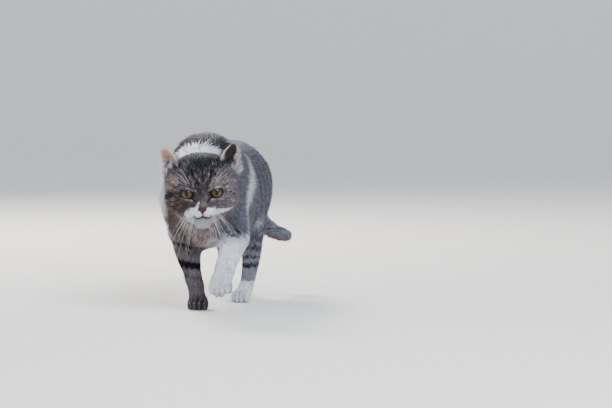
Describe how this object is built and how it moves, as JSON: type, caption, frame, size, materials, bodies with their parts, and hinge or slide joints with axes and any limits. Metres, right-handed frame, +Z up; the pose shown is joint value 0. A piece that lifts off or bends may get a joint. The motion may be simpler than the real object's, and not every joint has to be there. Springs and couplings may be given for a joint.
{
  "type": "cat",
  "caption": "Standing display model of a stocky short-haired grey tabby and white cat, walking with its head low and one forepaw lifted.",
  "frame": {"origin": "on the floor under the middle of the whole box", "axes": "+X to the cat's left, +Y towards its tail, +Z up; it walks towards -Y"},
  "size_m": [0.1568, 0.574, 0.2826],
  "materials": {
    "tabby_coat": "short fur",
    "dark_coat": "short fur",
    "white_coat": "short fur",
    "eye": "wet gloss",
    "nose": "fine grained, slightly moist"
  },
  "bodies": {
    "root": {"head": "tabby_coat", "neck": "tabby_coat", "chest": "tabby_coat", "belly": "tabby_coat", "rump": "tabby_coat", "foreleg_right": "tabby_coat", "forepaw_right": "tabby_coat", "foreleg_left": "white_coat", "forepaw_left": "white_coat", "hindleg_left": "tabby_coat", "hindfoot_left": "tabby_coat", "hindpaw_left": "white_coat", "hindleg_right": "tabby_coat", "hindfoot_right": "tabby_coat", "hindpaw_right": "white_coat", "tail_root": "tabby_coat", "tail_middle": "tabby_coat", "tail_end": "dark_coat", "ear_left": "tabby_coat", "ear_right": "tabby_coat", "eye_left": "eye", "eye_right": "eye", "nose": "nose"}
  },
  "joints": []
}
